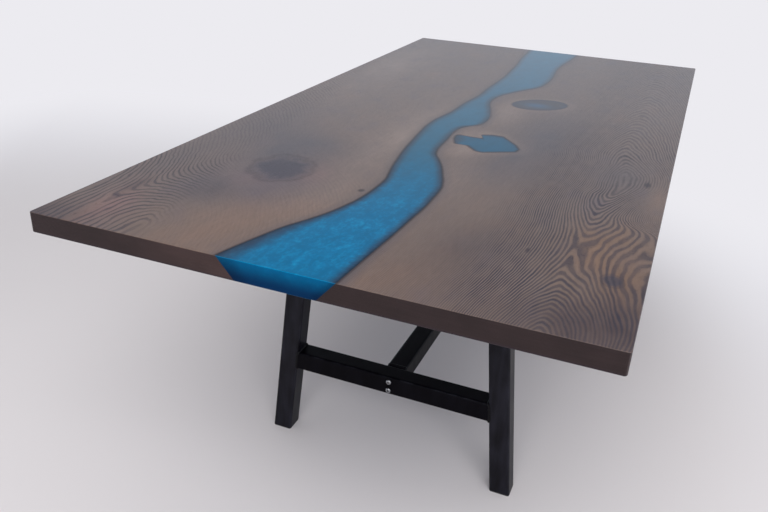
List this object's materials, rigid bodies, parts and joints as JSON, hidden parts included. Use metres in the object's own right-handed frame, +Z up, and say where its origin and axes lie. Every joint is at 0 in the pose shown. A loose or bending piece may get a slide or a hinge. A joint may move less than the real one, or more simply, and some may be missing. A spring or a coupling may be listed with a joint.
{
  "type": "live edge dining table",
  "caption": "Rectangular dining table: two stained live edge slabs with a blue resin river between them, on a welded square-tube trestle base.",
  "frame": {"origin": "on the floor under the middle of the table top", "axes": "+Z up, +Y along the length from the front end to the rear end, +X across the top towards the right slab"},
  "size_m": [1.07, 2.12, 0.76],
  "materials": {
    "stained_wood": "grey-brown stained, satin oil",
    "blue_resin": "pearly blue cast epoxy, satin",
    "knot_resin": "dark blue-grey cast epoxy over a knot",
    "black_steel": "satin black powder coat",
    "glide_plastic": "matte black",
    "stainless_steel": "stainless, plain",
    "zinc_steel": "bright zinc",
    "insert_brass": "plain brass"
  },
  "bodies": {
    "root": {"left_slab": "stained_wood", "right_slab": "stained_wood", "resin_river": "blue_resin", "resin_pool": "blue_resin", "resin_knot_fill": "knot_resin", "front_left_leg": "black_steel", "front_left_glide": "glide_plastic", "front_right_leg": "black_steel", "front_right_glide": "glide_plastic", "front_crossbar": "black_steel", "front_mounting_plate": "black_steel", "front_crossbar_welds": "black_steel", "front_head_welds": "black_steel", "front_stretcher_plate": "black_steel", "front_stretcher_weld": "black_steel", "front_stretcher_bolts": "stainless_steel", "front_top_screws": "zinc_steel", "front_top_washers": "zinc_steel", "front_threaded_inserts": "insert_brass", "rear_left_leg": "black_steel", "rear_left_glide": "glide_plastic", "rear_right_leg": "black_steel", "rear_right_glide": "glide_plastic", "rear_crossbar": "black_steel", "rear_mounting_plate": "black_steel", "rear_crossbar_welds": "black_steel", "rear_head_welds": "black_steel", "rear_stretcher_plate": "black_steel", "rear_stretcher_weld": "black_steel", "rear_stretcher_bolts": "stainless_steel", "rear_top_screws": "zinc_steel", "rear_top_washers": "zinc_steel", "rear_threaded_inserts": "insert_brass", "stretcher": "black_steel"}
  },
  "joints": []
}
